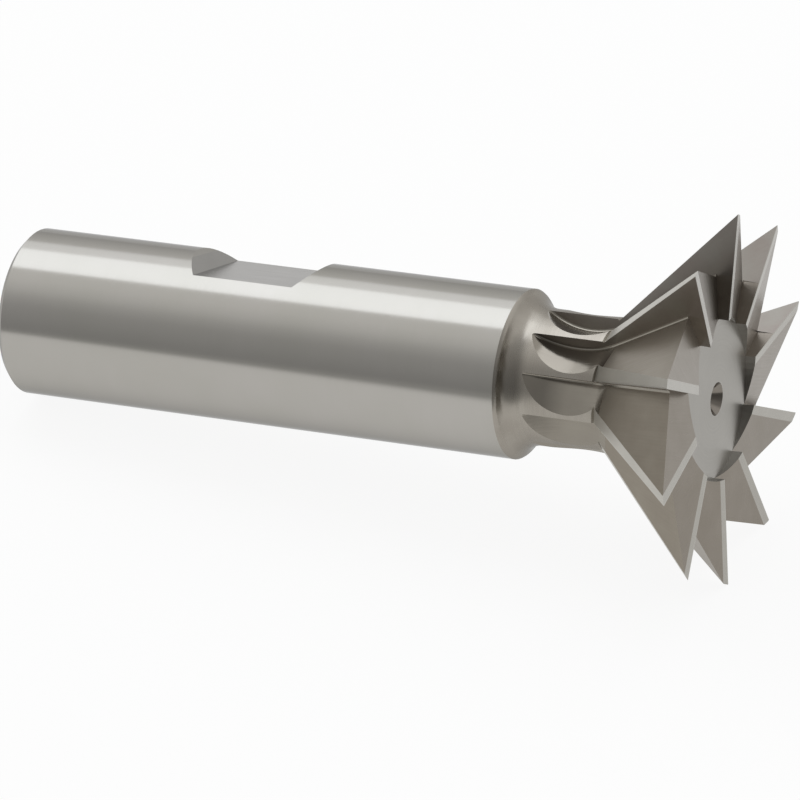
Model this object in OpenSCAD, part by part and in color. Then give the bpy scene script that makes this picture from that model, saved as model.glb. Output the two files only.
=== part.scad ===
// Dovetail cutter with a flatted cylindrical shank, ground from one bar of high speed steel.
// It is drawn on its own axis, shank end down, and then laid down as it comes to rest:
// on the teeth that straddle its lowest line and on the rim of the shank end.
// All sizes are in millimetres and degrees.

/* [Cutting head] */
// Diameter over the sharp corners of the teeth
head_d = 34.925; // [30:0.005:40]
// Angle between the conical edges and the end plane
dovetail_angle = 45; // [42:1:50]
// Number of teeth
tooth_count = 10; // [8:1:12]
// Slope of the end edges towards the axis, so that only the corners reach the end plane
end_dish = 3.5; // [1:0.5:5]
// Radius of the turned recess that the end teeth stop at
recess_r = 7.5; // [6:0.1:9]
// Depth of the recess below the tooth corners
recess_depth = 1.6; // [1.5:0.05:2]

/* [Teeth] */
// Width of the ground land behind each cutting edge
land_w = 0.85; // [0.6:0.05:1.4]
// Width of the unrelieved margin at the front of the land
margin_w = 0.12; // [0.08:0.01:0.3]
// Clearance angle ground on the lands
relief_angle = 8; // [4:1:12]
// How far the clearance grinding of the conical lands runs on into the neck
relief_run = 0.2; // [0.1:0.1:0.8]
// Turn of the first tooth face about the axis, from the line X
tooth_turn = 9.6; // [9.5:0.1:9.9]

/* [Flutes] */
// Depth of the flutes below the tooth corners, on the end plane
flute_depth = 4.75; // [4:0.05:5.5]
// Slope of the flute roots from the axis
flute_slope = 33.6; // [30:0.2:37]
// Radius of the wheel that leaves the run-out scoops in the neck
wheel_r = 7; // [6:0.1:8]
// Depth of the run-out scoops below the neck
scoop_depth = 1.5; // [1:0.05:1.8]
// Radius at the root of the flutes
root_r = 0.2; // [0.15:0.05:0.4]
// Radius that the end gashes reach out to
gash_r = 11.6; // [11:0.1:13]
// Undercut of the gash walls behind the end edges
gash_undercut = 3; // [1:1:10]

/* [Shank] */
// Length over all, from the shank end to the tooth corners
overall_l = 71.4375; // [68:0.0025:85]
// Length of the ground cylinder
shank_l = 51; // [46:0.1:52]
// Diameter of the ground cylinder
shank_d = 15.875; // [15:0.005:17]
// Chamfer at the shank end
end_chamfer = 0.5; // [0.2:0.1:1]
// Radius of the rounded shoulder
shoulder_r = 0.95; // [0.8:0.05:1.2]
// Angle at which the turned shoulder leaves the ground cylinder
shoulder_start = 28; // [15:1:35]
// Diameter of the neck between the shoulder and the head
neck_d = 12.7; // [12:0.05:13.2]
// Radius of the fillet where the shoulder meets the neck
neck_fillet = 2.45; // [1.5:0.05:3]

/* [Drive flat] */
// Length of the floor of the flat
flat_l = 10.16; // [8:0.02:13]
// Depth of the flat below the cylinder
flat_depth = 1.65; // [1:0.05:2.2]
// Distance from the shank end to the middle of the flat
flat_pos = 24; // [20:0.1:30]
// Slope of the end walls of the flat
flat_wall_angle = 45; // [40:1:60]
// Turn of the flat about the axis, from the line X
flat_turn = -67.5; // [-75:0.1:-60]

/* [Centre holes] */
// Mouth of the centre hole in the head
head_centre_d = 3.1; // [2:0.1:5]
// Mouth of the centre hole in the shank end
shank_centre_d = 5; // [3:0.1:7]
// Pilot bore of both centre holes
centre_pilot_d = 1.3; // [1:0.1:1.8]
// Depth of the pilot bores below their countersinks
centre_pilot_l = 1.6; // [1:0.1:3]
// Angle of the countersinks
centre_angle = 60; // [60:30:90]

/* [Hidden] */
$fn = 96;
steel = [0.66, 0.65, 0.63];
shoulder_steps = 8; // flats along the shoulder and the neck fillet
root_steps = 3; // flats across the root of a flute
rest_teeth = 6; // whole teeth that the cutter is rolled by, so that its flat looks up
over = 1; // how far a cut passes through the surface it opens

head_r = head_d / 2;
shank_r = shank_d / 2;
neck_r = neck_d / 2;
pitch = 360 / tooth_count;
face_w = (head_r - neck_r) * tan(dovetail_angle); // width of the cutting face along the axis
edge_l = (head_r - neck_r) / cos(dovetail_angle); // length of a conical edge
dish = (head_r - recess_r) * tan(end_dish); // drop of the end edges at the recess

// Centres of the shoulder and of the fillet that joins it to the neck
shoulder_c = [shank_r - shoulder_r * cos(shoulder_start), shank_l - shoulder_r * sin(shoulder_start)];
fillet_side = neck_r + neck_fillet - shoulder_c[0];
fillet_rise = sqrt(pow(shoulder_r + neck_fillet, 2) - pow(fillet_side, 2));
fillet_c = shoulder_c + [fillet_side, fillet_rise];
shoulder_turn = atan2(fillet_rise, fillet_side);

// Heel of the land of the tooth in front: X and Y from the corner of the tooth behind the flute
land_drop = (land_w - margin_w) * tan(relief_angle);
land_turn = land_w / head_r * 180 / PI;
heel_turn = pitch - land_turn;
heel_r = head_r - land_drop;
heel_top = [heel_r * cos(heel_turn) - head_r, heel_r * sin(heel_turn), -land_drop];
heel_end = [
    recess_r * cos(pitch) + land_w * sin(pitch) - head_r,
    recess_r * sin(pitch) - land_w * cos(pitch),
    -land_drop - dish
];

// Flute: its back runs from the root to that heel
flute_angle = atan2(heel_top[1], (heel_top[0] + flute_depth) * cos(flute_slope));
flute_w = head_r; // reach of the cut away from the tooth face
flute_h = head_r; // reach of the cut above its root
flute_l = 2 * head_r; // length of its straight run
wheel_x = neck_r - scoop_depth + wheel_r - head_r;
wheel_z = (wheel_x + flute_depth - wheel_r / cos(flute_slope)) / tan(flute_slope);

// Gash floor: the plane through that heel and the point where the gash meets the floor of the recess
gash_root = [recess_r - head_r, 0, -recess_depth];
gash_a = heel_top - gash_root;
gash_b = heel_end - gash_root;
gash_det = gash_a[0] * gash_b[1] - gash_a[1] * gash_b[0];
gash_fall = atan((gash_a[1] * gash_b[2] - gash_a[2] * gash_b[1]) / gash_det);
gash_rise = atan((gash_a[0] * gash_b[2] - gash_a[2] * gash_b[0]) / gash_det * cos(gash_fall));

// Rest: a heel, the next corner and the rim of the shank end touch the ground
rest_turn = atan((heel_r / head_r - cos(heel_turn)) / sin(heel_turn)) + land_turn;
rest_drop = heel_r * cos(rest_turn - land_turn);
rest_tilt = atan((rest_drop - shank_r) / (overall_l - land_drop - end_chamfer));
rest_lift = shank_r * cos(rest_tilt) - end_chamfer * sin(rest_tilt);
corner_drop = head_r * cos(pitch - rest_turn);
rim_r = shank_r - end_chamfer;
middle = (overall_l * cos(rest_tilt) + (corner_drop - rim_r) * sin(rest_tilt)) / 2;

function arc(c, r, from, to, steps) =
    [for (i = [0:steps]) let (a = from + (to - from) * i / steps) c + r * [cos(a), sin(a)]];

// Turned blank: shank, shoulder, neck, cone, dished end and recess
module blank() {
    rotate_extrude()
        polygon(concat(
            [[0, 0], [shank_r - end_chamfer, 0], [shank_r, end_chamfer]],
            arc(shoulder_c, shoulder_r, shoulder_start, shoulder_turn, shoulder_steps),
            arc(fillet_c, neck_fillet, 180 + shoulder_turn, 180, shoulder_steps),
            [[neck_r, overall_l - face_w], [head_r, overall_l], [recess_r, overall_l - dish]],
            [[recess_r, overall_l - recess_depth], [0, overall_l - recess_depth]]
        ));
}

// Section of a flute: X above the root, Y away from the tooth face
module flute_section() {
    polygon(concat(
        arc([root_r / tan(flute_angle / 2), root_r], root_r, 270, 90 + flute_angle, root_steps),
        [[flute_w / tan(flute_angle), flute_w], [flute_h, flute_w], [flute_h, 0]]
    ));
}

// Grinding wheel at the end of its run, with the flute's section on its rim
module wheel() {
    rotate_extrude()
        intersection() {
            translate([wheel_r, 0])
                mirror([1, 0])
                    flute_section();
            square([wheel_r, flute_w]);
        }
}

// One flute, from the corner of its tooth down to the scoop in the neck
module flute() {
    translate([wheel_x, 0, wheel_z]) {
        rotate([0, flute_slope, 0])
            translate([-wheel_r, 0, 0])
                linear_extrude(flute_l)
                    flute_section();
        rotate([-90, 0, 0])
            wheel();
    }
}

// One end gash: a sloping floor behind the land in front, and an undercut wall below the end edge
module end_gash() {
    intersection() {
        union() {
            translate([gash_root[0] - over, 0, -flute_h])
                cube([flute_l, flute_w, flute_l]);
            rotate([0, -end_dish, 0])
                rotate([-gash_undercut, 0, 0])
                    translate([gash_root[0] - over, 0, -flute_h])
                        cube([gash_r - recess_r + over, flute_w, flute_l]);
        }
        translate(gash_root)
            rotate([gash_rise, gash_fall, 0])
                translate([-flute_h, -flute_w, 0])
                    cube([flute_l, 2 * flute_w, flute_h]);
    }
}

// Clearance behind an edge that runs along X, with its surface facing Z
module relief(l) {
    rotate([relief_angle, 0, 0])
        translate([-over, -2 * land_w, margin_w * tan(relief_angle)])
            cube([l + over, 2 * land_w + over, over]);
}

module land_reliefs() {
    rotate([0, -end_dish, 0])
        mirror([1, 0, 0])
            relief(head_r - recess_r + over);
    rotate([0, 180 - dovetail_angle, 0])
        relief(edge_l + relief_run);
}

module drive_flat() {
    run = (flat_depth + over) / tan(flat_wall_angle);
    translate([shank_r - flat_depth, shank_r, flat_pos])
        rotate([90, 0, 0])
            linear_extrude(shank_d)
                polygon([
                    [0, -flat_l / 2], [flat_depth + over, -flat_l / 2 - run],
                    [flat_depth + over, flat_l / 2 + run], [0, flat_l / 2]
                ]);
}

// Centre hole that opens upwards at the origin
module centre_hole(mouth_d) {
    sink = (mouth_d - centre_pilot_d) / 2 / tan(centre_angle / 2);
    translate([0, 0, -sink])
        cylinder(d1 = centre_pilot_d, d2 = mouth_d, h = sink);
    translate([0, 0, -sink - centre_pilot_l])
        cylinder(d = centre_pilot_d, h = sink + centre_pilot_l + over);
}

// The cutter upright on its axis, with the shank end on the ground
module cutter_on_axis() {
    difference() {
        blank();
        for (i = [0:tooth_count - 1])
            rotate(tooth_turn + pitch * i)
                translate([head_r, 0, overall_l]) {
                    flute();
                    end_gash();
                    land_reliefs();
                }
        rotate(flat_turn)
            drive_flat();
        translate([0, 0, overall_l - recess_depth])
            centre_hole(head_centre_d);
        rotate([180, 0, 0])
            centre_hole(shank_centre_d);
    }
}

module dovetail_cutter() {
    color(steel)
        translate([-middle, 0, rest_lift])
            rotate([0, 90 - rest_tilt, 0])
                rotate(rest_turn - tooth_turn + rest_teeth * pitch)
                    cutter_on_axis();
}

dovetail_cutter();
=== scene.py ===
import bpy, bmesh
from math import atan2, cos, degrees, floor, hypot, pi, radians, sin, tan
from mathutils import Matrix, Vector


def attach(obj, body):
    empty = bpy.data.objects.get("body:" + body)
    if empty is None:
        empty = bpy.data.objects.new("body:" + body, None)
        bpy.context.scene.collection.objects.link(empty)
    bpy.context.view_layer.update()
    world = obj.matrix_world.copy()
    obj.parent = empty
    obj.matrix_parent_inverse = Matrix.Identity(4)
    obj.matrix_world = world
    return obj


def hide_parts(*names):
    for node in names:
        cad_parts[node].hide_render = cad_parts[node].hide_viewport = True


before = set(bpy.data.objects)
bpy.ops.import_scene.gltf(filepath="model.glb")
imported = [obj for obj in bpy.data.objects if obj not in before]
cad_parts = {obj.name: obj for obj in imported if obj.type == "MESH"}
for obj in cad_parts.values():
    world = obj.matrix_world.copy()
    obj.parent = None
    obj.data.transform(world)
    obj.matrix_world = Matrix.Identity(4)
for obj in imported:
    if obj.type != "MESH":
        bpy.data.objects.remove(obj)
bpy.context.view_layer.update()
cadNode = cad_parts["dovetail_cutter"]

perMetre = 1000  # millimetres
mixA, mixB, mixOut = 6, 7, 2  # sockets of a mix node that carry colours


def linear(hexColour):
    parts = [int(hexColour[i:i + 2], 16) / 255 for i in (1, 3, 5)]
    return [p / 12.92 if p <= 0.04045 else ((p + 0.055) / 1.055) ** 2.4 for p in parts] + [1.0]


def addNode(tree, kind, settings=None, inputs=None):
    node = tree.nodes.new(kind)
    for name, value in (settings or {}).items():
        setattr(node, name, value)
    for name, value in (inputs or {}).items():
        if isinstance(value, bpy.types.NodeSocket):
            tree.links.new(value, node.inputs[name])
        else:
            node.inputs[name].default_value = value
    return node


def emptyTree(holder):
    holder.use_nodes = True
    holder.node_tree.nodes.clear()
    return holder.node_tree


def addObject(name, data):
    thing = bpy.data.objects.new(name, data)
    bpy.context.scene.collection.objects.link(thing)
    return thing


# The cutter on its own axis, in millimetres and degrees: shank end at z 0, tooth corners at z length
cutter = {
    "length": 71.4375,
    "tilt": 7.03918,          # rise of the axis towards the head
    "middle": 36.0161,        # from the shank end to the origin, along X
    "lift": 7.8164,           # height of the axis at the shank end
    "teeth": 10,
    "toothTurn": 18.82843,    # first tooth face, from the side that lies on the floor
    "flatTurn": 157.72843,    # the drive flat, from the same side
    "fluteSlope": 33.6,
    "shankRadius": 7.9375,
    "shankLength": 51.0,
    "chamfer": 0.6,           # just over that of the shank end
    "neckRadius": 6.35,
    "coneAngle": 45,
    "coneLength": 11.1125,
    "coneRun": 1.0,           # how far below the cone its lands may still run
    "landDepth": 1.1,         # from the tooth corners, below all end lands
    "recessRadius": 7.5,
    "recessDepth": 1.6,
    "pilotRadius": 0.67,      # just over that of the pilot bores
    "centreRadius": 2.6,      # just over that of the larger centre hole
    "shankCentreDepth": 8.0,  # from the shank end
    "headCentreDepth": 6.0,   # from the tooth corners
    # how far past a border a face still counts
    "slack": 0.01,
    "neckSlack": 0.1,         # below the neck
    "faceSlack": 0.6,         # off the plane of a tooth face
    "turnSlack": 0.6,         # degrees before a tooth face
    # shares of a face's normal that tell how it was made
    "outward": 0.6,           # away from the axis, more: cylinder and chamfer
    "inward": -0.7,           # away from the axis, less: wall of the recess
    "shankAround": 0.08,      # round the axis, less: cylinder and chamfer
    "neckAround": 0.06,       # round the axis, less: shoulder and neck
    "slope": 0.75,            # along the axis, less: cylinder and chamfer
    "level": 0.995,           # along the axis, more: floor of the recess
    "facing": 0.9,            # along the axis, more: gash floor, less: drilled centre
    "land": 0.985,            # square to the cone or to the end, more: a land with its clearance
    "face": 0.97,             # square to the tooth, more: tooth face or gash wall
    "undercut": -0.05,        # along the axis, less: gash wall
    # merging, shading and the map of the lines
    "mergeGap": 0.001,
    "sharpAngle": 12,         # above which an edge of a round face stays crisp
    "levelAngle": 0.3,        # below which two facets belong to one plane
    "levelArea": 12.0,        # square millimetres, above which such a plane is no facet of a scoop
    "ringRadius": 8.0,        # at which turns round the axis are laid out
    "mapUnit": 10.0,          # to one unit of the map
}
axisTurn = Matrix.Rotation(radians(90 - cutter["tilt"]), 3, "Y")
axisFoot = Vector((-cutter["middle"], 0, cutter["lift"]))
toFlat = Matrix.Rotation(-radians(cutter["flatTurn"]), 3, "Z")
toothPitch = 360 / cutter["teeth"]


def onAxis(point):
    return axisTurn.transposed() @ (point * perMetre - axisFoot)


# Ground high speed steel in all its places: each has the colour that its finish gives the metal, its gloss,
# and in millimetres the spacing and the run of its lines and the size of its patches; the near black of the
# pilot bores is painted shade. Real lines are 0.01 to 0.03 mm apart, too fine for the picture, so they are
# drawn coarser. A graze below 1 lets the steel mirror less at a glancing angle, as iron does
finishes = {
    # cylindrical grinding: bright and even, with rings so fine that they only soften what it mirrors
    "groundShank": {"colour": "#aeaba6", "tint": "#a8a69f", "roughness": 0.15, "spread": 0.05,
                    "line": 0.16, "run": 9.0, "depth": 0.08, "patch": 9.0, "graze": 0.57},
    # the flat is surface ground, a little duller, with lines along the shank
    "groundFlat": {"colour": "#9d9b97", "tint": "#95938f", "roughness": 0.24, "spread": 0.06,
                   "line": 0.15, "run": 7.0, "depth": 0.10, "patch": 5.0, "graze": 0.83},
    # turned and left from the lathe: satin rings on the shoulder and the neck
    "turnedNeck": {"colour": "#a39e95", "tint": "#958f86", "roughness": 0.27, "spread": 0.08,
                   "line": 0.22, "run": 5.0, "depth": 0.12, "patch": 3.0, "graze": 0.57},
    # run-out scoops in the neck and roots of the flutes: brownish, and glossy from the rim of the wheel
    "burnishedScoop": {"colour": "#908b81", "tint": "#868077", "roughness": 0.16, "spread": 0.06,
                       "line": 0.18, "run": 6.0, "depth": 0.08, "patch": 3.5},
    # flutes from a coarse wheel: brownish and dull, with faint lines that follow the flute
    "groundFlute": {"colour": "#90897d", "tint": "#857d71", "roughness": 0.34, "spread": 0.06,
                    "line": 0.18, "run": 6.0, "depth": 0.10, "patch": 3.5},
    # tooth faces, greyer and finer than the backs of the flutes
    "groundFace": {"colour": "#9d9a93", "tint": "#958c86", "roughness": 0.34, "spread": 0.06,
                   "line": 0.15, "run": 6.0, "depth": 0.06, "patch": 3.0},
    # walls of the end gashes, dull from a narrow wheel
    "gashWall": {"colour": "#9f988f", "tint": "#8c857c", "roughness": 0.38, "spread": 0.06,
                 "line": 0.16, "run": 2.5, "depth": 0.12, "patch": 1.5},
    # gash floors, satin and warm
    "gashFloor": {"colour": "#8a837a", "tint": "#817a70", "roughness": 0.30, "spread": 0.06,
                  "line": 0.16, "run": 6.0, "depth": 0.08, "patch": 3.0},
    # conical lands, light and satin from the clearance wheel
    "coneLand": {"colour": "#bebbb3", "tint": "#b5b2aa", "roughness": 0.40, "spread": 0.06,
                 "line": 0.14, "run": 4.0, "depth": 0.06, "patch": 2.5},
    # end lands, ground last and finest: glossier than the cone's
    "groundLand": {"colour": "#a6a39c", "tint": "#9e9b94", "roughness": 0.22, "spread": 0.04,
                   "line": 0.12, "run": 4.0, "depth": 0.04, "patch": 2.5},
    # faced recess, plain light grey with the faint rings of the lathe tool round the axis
    "facedRecess": {"colour": "#9a9791", "tint": "#94918b", "roughness": 0.33, "spread": 0.05,
                    "line": 0.20, "rings": True, "depth": 0.05, "patch": 4.0},
    # drilled centres, glossy and darker than the recess
    "drilledCentre": {"colour": "#857f77", "tint": "#756f68", "roughness": 0.15, "spread": 0.06,
                      "line": 0.15, "rings": True, "depth": 0.06, "patch": 2.0},
    # pilot bores, dull and painted nearly black: painted shade deep inside the hole
    "paintedShadeBore": {"colour": "#3d3934", "tint": "#2e2b27", "roughness": 0.55, "spread": 0.08,
                 "line": 0.15, "rings": True, "depth": 0.10, "patch": 2.0},
    # parted shank end, dull
    "partedEnd": {"colour": "#837e75", "tint": "#6f6a62", "roughness": 0.36, "spread": 0.08,
                  "line": 0.15, "rings": True, "depth": 0.10, "patch": 2.0},
}
finishOrder = list(finishes)

# What all finishes share: lines that change the gloss and the height, and soft patches of the tint
pattern = {
    "lineDetail": 3.0, "lineRoughness": 0.6,
    "lineLow": 0.3, "lineHigh": 0.7,       # range of the lines' noise that the gloss follows
    "lineHeight": 0.02,                    # millimetres
    "lineShare": 0.3,                      # of the lines in the tint
    "patchDetail": 4.0, "patchRoughness": 0.55,
    "patchGain": 2.4, "patchShift": -0.7,  # spread the middle of the patches' noise over the whole range
    "tintShare": 0.75,                     # of the tint where it is strongest
}


def ringLines(tree, place, finish, noise):
    upright = addNode(tree, "ShaderNodeMapping", {"vector_type": "TEXTURE"},
                      {"Vector": place.outputs["Object"], "Location": axisFoot / perMetre,
                       "Rotation": axisTurn.to_euler(), "Scale": [finish["line"] / perMetre] * 3})
    across = addNode(tree, "ShaderNodeVectorMath", {"operation": "MULTIPLY"},
                     {0: upright.outputs["Vector"], 1: (1, 1, 0)})
    reach = addNode(tree, "ShaderNodeVectorMath", {"operation": "LENGTH"}, {0: across.outputs["Vector"]})
    return addNode(tree, "ShaderNodeTexNoise", {"noise_dimensions": "1D"},
                   {"W": reach.outputs["Value"], **noise})


def straightLines(tree, place, finish, noise):
    unit = cutter["mapUnit"]
    along = addNode(tree, "ShaderNodeMapping", None,
                    {"Vector": place.outputs["UV"],
                     "Scale": (unit / finish["run"], unit / finish["line"], 1)})
    return addNode(tree, "ShaderNodeTexNoise", {"noise_dimensions": "2D"},
                   {"Vector": along.outputs["Vector"], **noise})


def makeSteel(name, finish):
    steel = bpy.data.materials.new(name)
    tree = emptyTree(steel)
    place = addNode(tree, "ShaderNodeTexCoord")
    noise = {"Scale": 1.0, "Detail": pattern["lineDetail"], "Roughness": pattern["lineRoughness"]}
    drawLines = ringLines if finish.get("rings") else straightLines
    lines = drawLines(tree, place, finish, noise)
    patches = addNode(tree, "ShaderNodeTexNoise", {"noise_dimensions": "3D"},
                      {"Vector": place.outputs["Object"], "Scale": perMetre / finish["patch"],
                       "Detail": pattern["patchDetail"], "Roughness": pattern["patchRoughness"]})
    blotch = addNode(tree, "ShaderNodeMath", {"operation": "MULTIPLY_ADD", "use_clamp": True},
                     {0: patches.outputs["Fac"], 1: pattern["patchGain"], 2: pattern["patchShift"]})
    streak = addNode(tree, "ShaderNodeMath", {"operation": "MULTIPLY_ADD", "use_clamp": True},
                     {0: lines.outputs["Fac"], 1: pattern["lineShare"], 2: blotch.outputs["Value"]})
    tinting = addNode(tree, "ShaderNodeMath", {"operation": "MULTIPLY"},
                      {0: streak.outputs["Value"], 1: pattern["tintShare"]})
    tone = addNode(tree, "ShaderNodeMix", {"data_type": "RGBA"},
                   {0: tinting.outputs["Value"],
                    mixA: linear(finish["colour"]), mixB: linear(finish["tint"])})
    gloss = addNode(tree, "ShaderNodeMapRange", None,
                    {"Value": lines.outputs["Fac"],
                     "From Min": pattern["lineLow"], "From Max": pattern["lineHigh"],
                     "To Min": finish["roughness"] - finish["spread"] / 2,
                     "To Max": finish["roughness"] + finish["spread"] / 2})
    bump = addNode(tree, "ShaderNodeBump", None,
                   {"Height": lines.outputs["Fac"], "Strength": finish["depth"],
                    "Distance": pattern["lineHeight"] / perMetre})
    shader = addNode(tree, "ShaderNodeBsdfPrincipled", None,
                     {"Base Color": tone.outputs[mixOut], "Metallic": 1.0,
                      "Roughness": gloss.outputs["Result"],
                      "Specular Tint": [finish.get("graze", 1.0)] * 3 + [1.0],
                      "Normal": bump.outputs["Normal"]})
    addNode(tree, "ShaderNodeOutputMaterial", None, {"Surface": shader.outputs["BSDF"]})
    return steel


steels = {name: makeSteel(name, finish) for name, finish in finishes.items()}
print("finishes made", len(steels))


# Turns a place round the axis so that the tooth face before it lies on X
def toothFrame(turn):
    step = floor((turn - cutter["toothTurn"] + cutter["turnSlack"]) / toothPitch)
    return Matrix.Rotation(-radians(cutter["toothTurn"] + step * toothPitch), 3, "Z")


def finishAt(centre, normal, toTooth):
    c = cutter
    radius, turn = hypot(centre.x, centre.y), atan2(centre.y, centre.x)
    outward = normal.x * cos(turn) + normal.y * sin(turn)
    around = abs(normal.y * cos(turn) - normal.x * sin(turn))
    depth = c["length"] - centre.z
    if centre.z < c["slack"]:
        return "partedEnd"
    if radius < c["pilotRadius"]:
        return "paintedShadeBore"
    nearEnd = centre.z < c["shankCentreDepth"] or depth < c["headCentreDepth"]
    if nearEnd and radius < c["centreRadius"] and normal.z < c["facing"]:
        return "drilledCentre"
    if centre.z < c["shankLength"] + c["slack"]:
        isOuter = radius > c["shankRadius"] - c["chamfer"] and outward > c["outward"]
        isRound = around < c["shankAround"] and abs(normal.z) < c["slope"]
        return "groundShank" if isOuter and isRound else "groundFlat"
    if radius < c["recessRadius"] + c["slack"]:
        isWall = depth < c["recessDepth"] + c["slack"] and outward < c["inward"]
        if isWall or normal.z > c["level"]:
            return "facedRecess"
    isBelowCone = depth > c["coneLength"] - c["slack"]
    if isBelowCone and around < c["neckAround"] and radius > c["neckRadius"] - c["neckSlack"]:
        return "turnedNeck"
    cone = radians(c["coneAngle"])
    slant = outward * sin(cone) - normal.z * cos(cone)
    if slant > c["land"] and depth < c["coneLength"] + c["coneRun"]:
        return "coneLand"
    if normal.z > c["land"] and depth < c["landDepth"]:
        return "groundLand"
    if normal.z > c["facing"]:
        return "gashFloor"
    square = toTooth @ normal
    if square.y > c["face"] and abs((toTooth @ centre).y) < c["faceSlack"]:
        return "groundFace" if square.z > c["undercut"] else "gashWall"
    return "groundFlute"


ringKinds = ("groundShank", "turnedNeck", "drilledCentre", "paintedShadeBore", "facedRecess", "partedEnd")
roundKinds = ("groundShank", "turnedNeck", "drilledCentre", "paintedShadeBore", "groundFlute")  # shaded round


# Place of a corner on the map of the lines, along them and across them
def linePlace(kind, point, turn, toTooth):
    if kind in ringKinds:
        swing = degrees(atan2(point.y, point.x)) - turn
        swing = turn % 360 + (swing + 180) % 360 - 180
        reach = hypot(point.x, point.y)
        across = reach if kind == "facedRecess" else point.z + reach
        return radians(swing) * cutter["ringRadius"], across
    if kind == "groundFlat":
        flat = toFlat @ point
        return flat.z, flat.y
    near = toTooth @ point
    if kind in ("groundLand", "coneLand"):
        return near.x - near.z, near.y
    if kind in ("gashFloor", "gashWall"):
        return near.x, near.y + near.z
    slope = radians(cutter["fluteSlope"])
    along = near.x * sin(slope) + near.z * cos(slope)
    if kind == "groundFace":
        return along, near.x * cos(slope) - near.z * sin(slope)
    return along, near.y


# Facets of the flutes that touch and lie in one plane
def flutePlanes(skin):
    fluteIndex = finishOrder.index("groundFlute")
    level = radians(cutter["levelAngle"])
    seen, planes = set(), []
    for first in skin.faces:
        if first.index in seen or first.material_index != fluteIndex:
            continue
        plane, queue = [], [first]
        seen.add(first.index)
        while queue:
            face = queue.pop()
            plane.append(face)
            for other in [other for edge in face.edges for other in edge.link_faces]:
                isFlute = other.index not in seen and other.material_index == fluteIndex
                if isFlute and first.normal.angle(other.normal) < level:
                    seen.add(other.index)
                    queue.append(other)
        planes.append(plane)
    return planes


# Large planes of the flutes are shaded flat, and the rest of a flute is its scoop and its root;
# scoops, cylinders and the shoulder stay round up to their borders
def flatten(skin):
    sharp = radians(cutter["sharpAngle"])
    for plane in flutePlanes(skin):
        isBack = sum(face.calc_area() for face in plane) * perMetre ** 2 > cutter["levelArea"]
        for face in plane:
            if isBack:
                face.smooth = False
            else:
                face.material_index = finishOrder.index("burnishedScoop")
    for edge in skin.edges:
        kinds = {(face.material_index, face.smooth) for face in edge.link_faces}
        edge.smooth = len(kinds) == 1 and edge.calc_face_angle(pi) < sharp


def shapeSkin():
    mesh = bpy.data.meshes.new("cutterSkin")
    skin = bmesh.new()
    skin.from_mesh(cadNode.data)
    bmesh.ops.remove_doubles(skin, verts=skin.verts, dist=cutter["mergeGap"] / perMetre)
    lineMap = skin.loops.layers.uv.new("grinding")
    counts = {}
    for face in skin.faces:
        centre = onAxis(face.calc_center_median())
        turn = degrees(atan2(centre.y, centre.x))
        toTooth = toothFrame(turn)
        kind = finishAt(centre, axisTurn.transposed() @ face.normal, toTooth)
        face.material_index = finishOrder.index(kind)
        face.smooth = kind in roundKinds
        counts[kind] = counts.get(kind, 0) + 1
        for loop in face.loops:
            along, across = linePlace(kind, onAxis(loop.vert.co), turn, toTooth)
            loop[lineMap].uv = (along / cutter["mapUnit"], across / cutter["mapUnit"])
    flatten(skin)
    skin.to_mesh(mesh)
    skin.free()
    for name in finishOrder:
        mesh.materials.append(steels[name])
    piece = addObject("cutterSkin", mesh)
    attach(piece, "root")
    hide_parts("dovetail_cutter")
    print("skin shaped", counts)


shapeSkin()

# Camera at the photograph's place, found from the tooth corners and the outlines of the shank
view = {
    "location": (0.177704, -0.408311, 0.313704),
    "turn": (55.45941, -0.01013, 23.29346),
    "lens": 259.739,
    "sensorWidth": 36,
    "clipStart": 0.01,
}
eye = bpy.data.cameras.new("camera")
eye.lens = view["lens"]
eye.sensor_width = view["sensorWidth"]
eye.clip_start = view["clipStart"]
eyeHolder = addObject("camera", eye)
eyeHolder.location = view["location"]
eyeHolder.rotation_euler = [radians(t) for t in view["turn"]]
bpy.context.scene.camera = eyeHolder
bpy.context.scene.view_settings.view_transform = "Standard"
print("camera set")

# White table that the cutter lies on: lit so evenly that only a faint shadow is left. Just out of the
# picture its colour is painted darker towards the viewer, most on the right: painted shade, which the shank
# and the neck mirror as a darker stretch. Lengths are in metres
table = {
    "width": 4.0, "front": -1.5, "back": 3.0,
    "colour": "#f6f6f4", "litColour": "#ffffff",
    # painted shade that the table's front fades to, on the left and on the right
    "leftShadeColour": "#b4b4b3", "rightShadeColour": "#8f8f8e",
    "fadeFrom": 0.051, "fadeTo": 0.114,    # towards the viewer
    "leftFrom": -0.02, "rightFrom": 0.04,  # along X
    "evenness": 0.9,                       # share of the table's look that takes no shadow
    "level": 1.0,                          # radiance of that share
}
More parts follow.
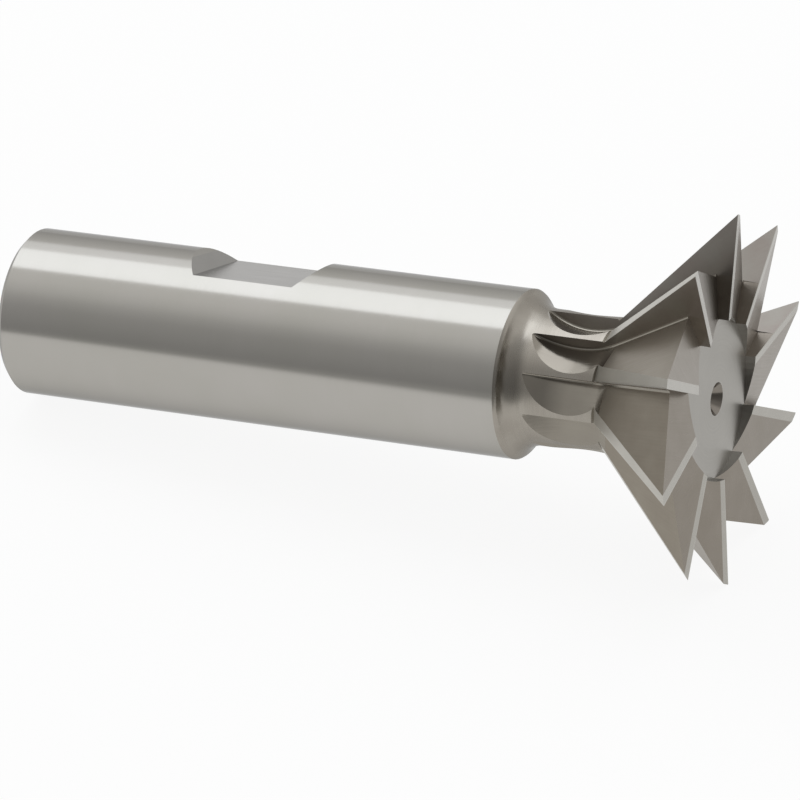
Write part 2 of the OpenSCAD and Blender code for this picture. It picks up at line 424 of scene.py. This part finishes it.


# Matt white laminate without gloss: plain white in the picture; out of it, its front has painted shade
def paintTable():
    paint = bpy.data.materials.new("mattWhiteLaminate")
    tree = emptyTree(paint)
    spot = addNode(tree, "ShaderNodeTexCoord")
    spotAxes = addNode(tree, "ShaderNodeSeparateXYZ", None, {"Vector": spot.outputs["Object"]})
    viewTurn = radians(view["turn"][2])
    nearness = addNode(tree, "ShaderNodeVectorMath", {"operation": "DOT_PRODUCT"},
                       {0: spot.outputs["Object"], 1: (sin(viewTurn), -cos(viewTurn), 0)})
    falloff = addNode(tree, "ShaderNodeMapRange", {"interpolation_type": "SMOOTHSTEP"},
                      {"Value": nearness.outputs["Value"],
                       "From Min": table["fadeTo"], "From Max": table["fadeFrom"]})
    side = addNode(tree, "ShaderNodeMapRange", {"interpolation_type": "SMOOTHSTEP"},
                   {"Value": spotAxes.outputs["X"],
                    "From Min": table["leftFrom"], "From Max": table["rightFrom"]})
    # painted shade: the table's front fades to grey, darker on the right
    paintedFrontShade = addNode(tree, "ShaderNodeMix", {"data_type": "RGBA"},
                        {0: side.outputs["Result"],
                         mixA: linear(table["leftShadeColour"]), mixB: linear(table["rightShadeColour"])})
    coatTone, litTone = [addNode(tree, "ShaderNodeMix", {"data_type": "RGBA"},
                                 {0: falloff.outputs["Result"],
                                  mixA: paintedFrontShade.outputs[mixOut], mixB: linear(table[colour])})
                         for colour in ("colour", "litColour")]
    coat = addNode(tree, "ShaderNodeBsdfDiffuse", None, {"Color": coatTone.outputs[mixOut]})
    lit = addNode(tree, "ShaderNodeEmission", None,
                  {"Color": litTone.outputs[mixOut], "Strength": table["level"]})
    path = addNode(tree, "ShaderNodeLightPath")
    straight = addNode(tree, "ShaderNodeMath", {"operation": "ADD"},
                       {0: path.outputs["Is Camera Ray"], 1: path.outputs["Is Glossy Ray"]})
    anySight = addNode(tree, "ShaderNodeMath", {"operation": "ADD", "use_clamp": True},
                       {0: straight.outputs["Value"], 1: path.outputs["Is Transmission Ray"]})
    evenness = addNode(tree, "ShaderNodeMath", {"operation": "MULTIPLY"},
                       {0: anySight.outputs["Value"], 1: table["evenness"]})
    topCoat = addNode(tree, "ShaderNodeMixShader", None,
                      {0: evenness.outputs["Value"], 1: coat.outputs["BSDF"], 2: lit.outputs["Emission"]})
    addNode(tree, "ShaderNodeOutputMaterial", None, {"Surface": topCoat.outputs["Shader"]})
    return paint


sheet = bmesh.new()
bmesh.ops.create_grid(sheet, x_segments=1, y_segments=1, size=0.5)
bmesh.ops.scale(sheet, verts=sheet.verts, vec=(table["width"], table["back"] - table["front"], 1))
bmesh.ops.translate(sheet, verts=sheet.verts, vec=(0, (table["back"] + table["front"]) / 2, 0))
tableMesh = bpy.data.meshes.new("whiteTable")
sheet.to_mesh(tableMesh)
sheet.free()
tableTop = addObject("whiteTable", tableMesh)
tableMesh.materials.append(paintTable())
print("table laid")

# Studio: an even room that is darkest in front, low behind the camera, and brightens overhead and at the
# back; the angle of a level runs round X from the front over the top to the back
room = {
    "levels": ((0, 0.40), (35, 0.52), (48, 0.65), (60, 0.83),
               (74, 0.96), (90, 1.0), (140, 0.95), (180, 0.74)),
    "dimSide": 0.5,                    # share of that level in front on the right
    "dimFrom": -0.42, "dimTo": 0.2,    # X of a direction, where the dimming begins and is full
    "backFrom": -0.05, "backTo": 0.3,  # Y of a direction, over which it ends
}
world = bpy.data.worlds.new("studioRoom")
bpy.context.scene.world = world
sky = emptyTree(world)
look = addNode(sky, "ShaderNodeTexCoord")
split = addNode(sky, "ShaderNodeSeparateXYZ", None, {"Vector": look.outputs["Generated"]})
forward = addNode(sky, "ShaderNodeMath", {"operation": "MULTIPLY"}, {0: split.outputs["Y"], 1: -1.0})
height = addNode(sky, "ShaderNodeMath", {"operation": "MAXIMUM"}, {0: split.outputs["Z"], 1: 0.0})
overhead = addNode(sky, "ShaderNodeMath", {"operation": "ARCTAN2"},
                   {0: height.outputs["Value"], 1: forward.outputs["Value"]})
share = addNode(sky, "ShaderNodeMath", {"operation": "DIVIDE"}, {0: overhead.outputs["Value"], 1: pi})
levels = addNode(sky, "ShaderNodeValToRGB", None, {"Fac": share.outputs["Value"]})
stops = levels.color_ramp.elements
while len(stops) < len(room["levels"]):
    stops.new(1.0)
for stop, (angle, level) in zip(stops, room["levels"]):
    stop.position = angle / 180
    stop.color = (level, level, level, 1)
dimming = addNode(sky, "ShaderNodeMapRange", None,
                  {"Value": split.outputs["X"], "From Min": room["dimFrom"], "From Max": room["dimTo"],
                   "To Min": 1.0, "To Max": room["dimSide"]})
behind = addNode(sky, "ShaderNodeMapRange", None,
                 {"Value": split.outputs["Y"], "From Min": room["backFrom"], "From Max": room["backTo"]})
strength = addNode(sky, "ShaderNodeMix", {"data_type": "FLOAT"},
                   {0: behind.outputs["Result"], 2: dimming.outputs["Result"], 3: 1.0})
glow = addNode(sky, "ShaderNodeBackground", None,
               {"Color": levels.outputs["Color"], "Strength": strength.outputs[0]})
addNode(sky, "ShaderNodeOutputWorld", None, {"Surface": glow.outputs["Background"]})
print("room set")

# Long soft boxes above and behind, parallel to X, that add to the room; the angle runs round X as above,
# and lengths are in metres
softBoxes = {
    "distance": 0.9, "length": 1.1, "shift": -0.35,
    "target": (0, 0, 0.015),
    "tint": "#f0f6ff",  # a little cooler than the room
    "boxes": {
        "topSoftBox": {"from": 92, "to": 129, "radiance": 1.16},
        "rearSoftBox": {"from": 130, "to": 147, "radiance": 0.49},
    },
}
for name, box in softBoxes["boxes"].items():
    lamp = bpy.data.lights.new(name, "AREA")
    lamp.shape = "RECTANGLE"
    lamp.color = linear(softBoxes["tint"])[:3]
    lamp.size = softBoxes["length"]
    lamp.size_y = 2 * softBoxes["distance"] * tan(radians(box["to"] - box["from"]) / 2)
    lamp.energy = box["radiance"] * pi * lamp.size * lamp.size_y
    middleAngle = radians(box["from"] + box["to"]) / 2
    holder = addObject(name, lamp)
    holder.location = Vector(softBoxes["target"]) + Vector((softBoxes["shift"],
                                                            -cos(middleAngle) * softBoxes["distance"],
                                                            sin(middleAngle) * softBoxes["distance"]))
    holder.rotation_euler = (pi / 2 - middleAngle, 0, 0)
print("lights set")

bpy.context.view_layer.update()
